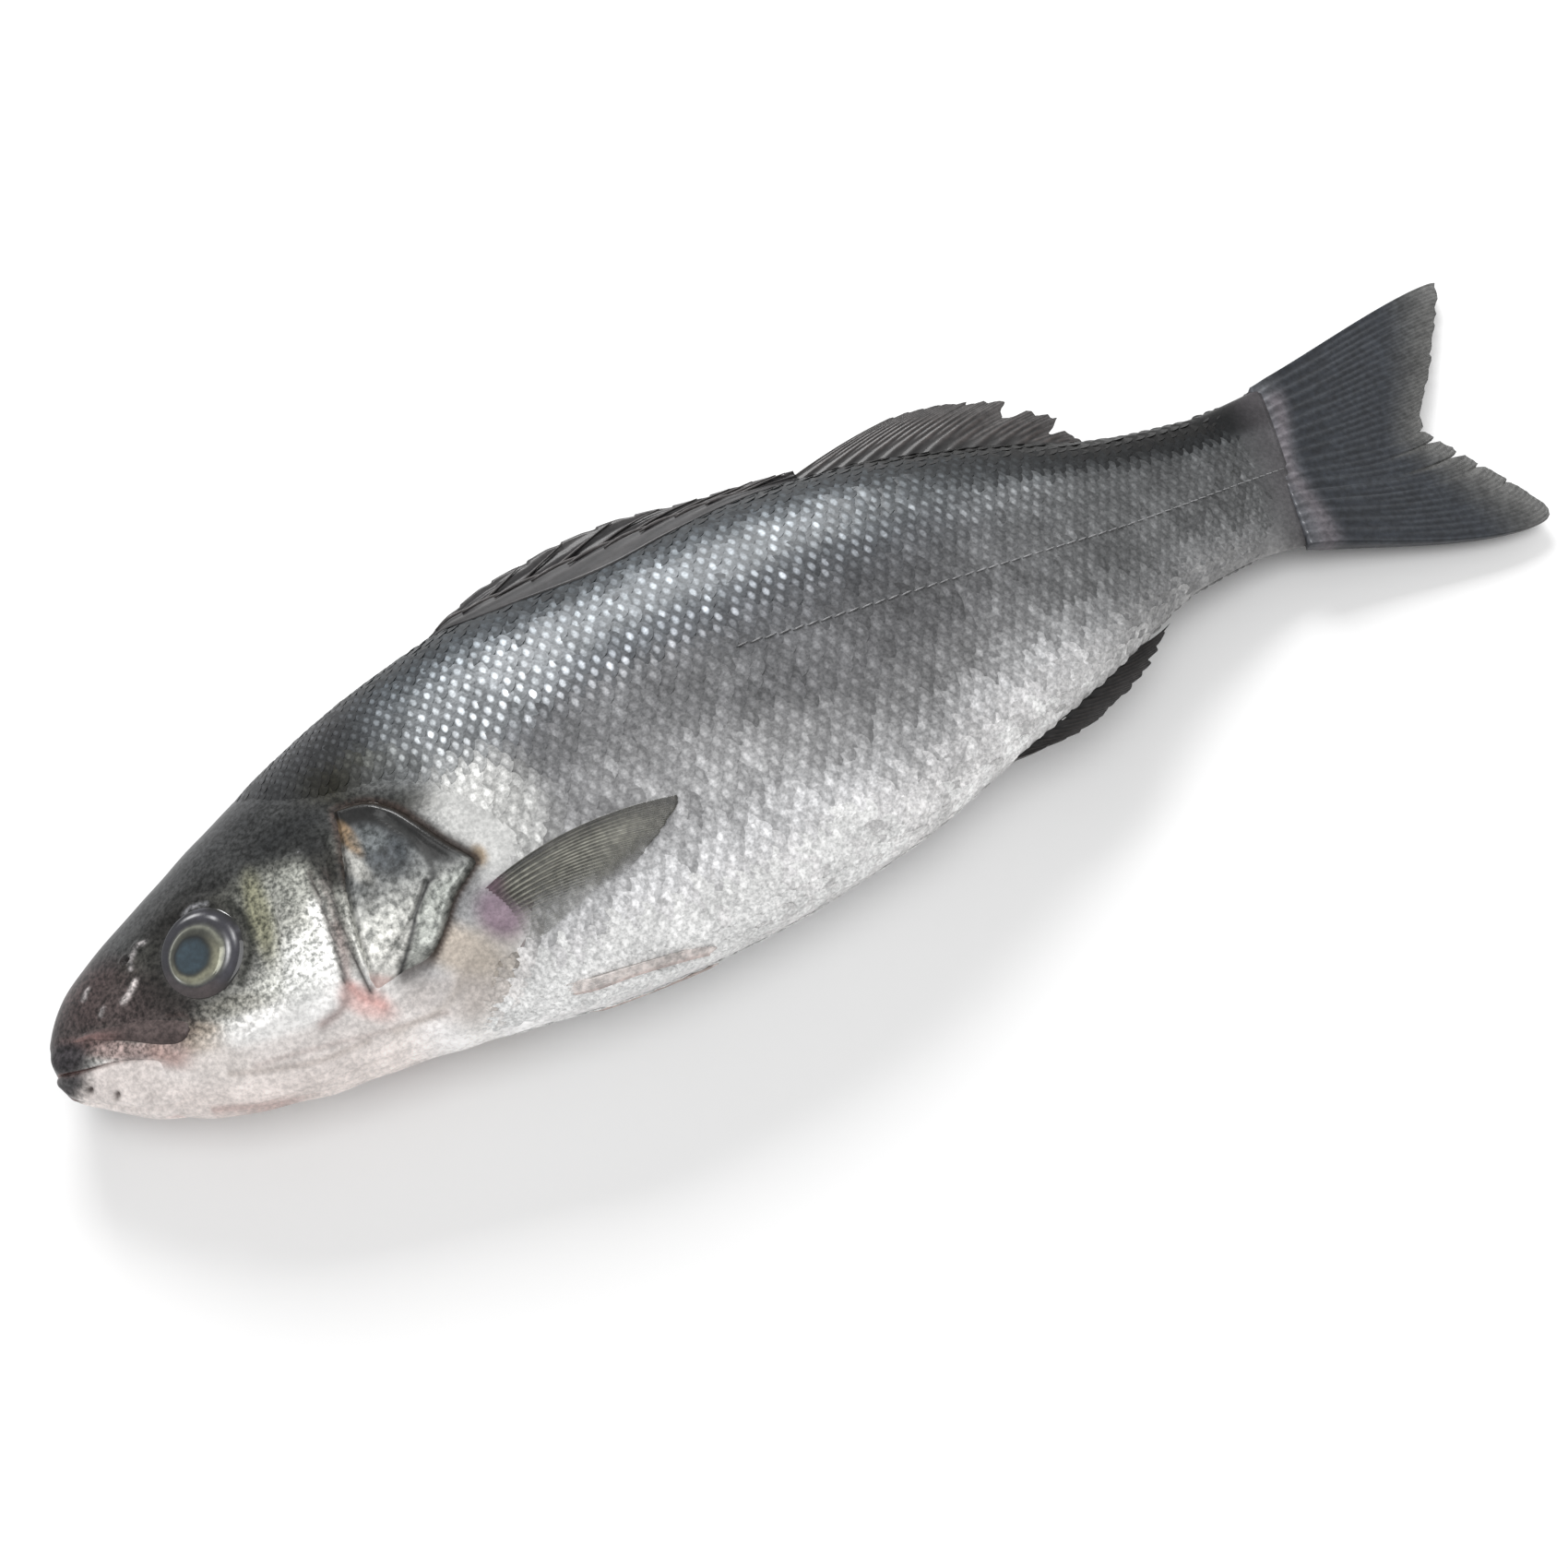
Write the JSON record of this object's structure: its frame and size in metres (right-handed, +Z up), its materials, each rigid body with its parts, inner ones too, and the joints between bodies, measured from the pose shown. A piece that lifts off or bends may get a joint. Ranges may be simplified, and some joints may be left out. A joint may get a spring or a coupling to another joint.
{
  "type": "whole raw fish",
  "caption": "Whole raw sea bass lying on its right side, with silver scales, a dark back, folded fins and a forked tail.",
  "frame": {"origin": "on the surface that the fish lies on, under the centre of its outer box", "axes": "+X from the head to the tail, +Y from the belly to the back, +Z up out of the left flank"},
  "size_m": [0.338, 0.0922, 0.0404],
  "materials": {
    "skin": "wet scaled skin, dark back, silver flank, white belly",
    "jaw_skin": "wet bare skin, pinkish white",
    "gill_cover_skin": "wet metallic silver and gold over bone",
    "eye": "wet clear cornea over a dark pupil and a silver iris",
    "fin": "damp dark grey rays and membrane",
    "clear_fin": "damp olive grey rays and thin membrane"
  },
  "bodies": {
    "root": {"body": "skin", "lower_jaw": "jaw_skin", "eye_left": "eye", "eye_right": "eye", "gill_cover_left": "gill_cover_skin", "gill_cover_right": "gill_cover_skin", "pectoral_fin_left": "clear_fin", "pectoral_fin_right": "clear_fin", "pelvic_fin_left": "clear_fin", "pelvic_fin_right": "clear_fin", "first_dorsal_fin": "fin", "second_dorsal_fin": "fin", "anal_fin": "fin", "caudal_fin": "fin"}
  },
  "joints": []
}
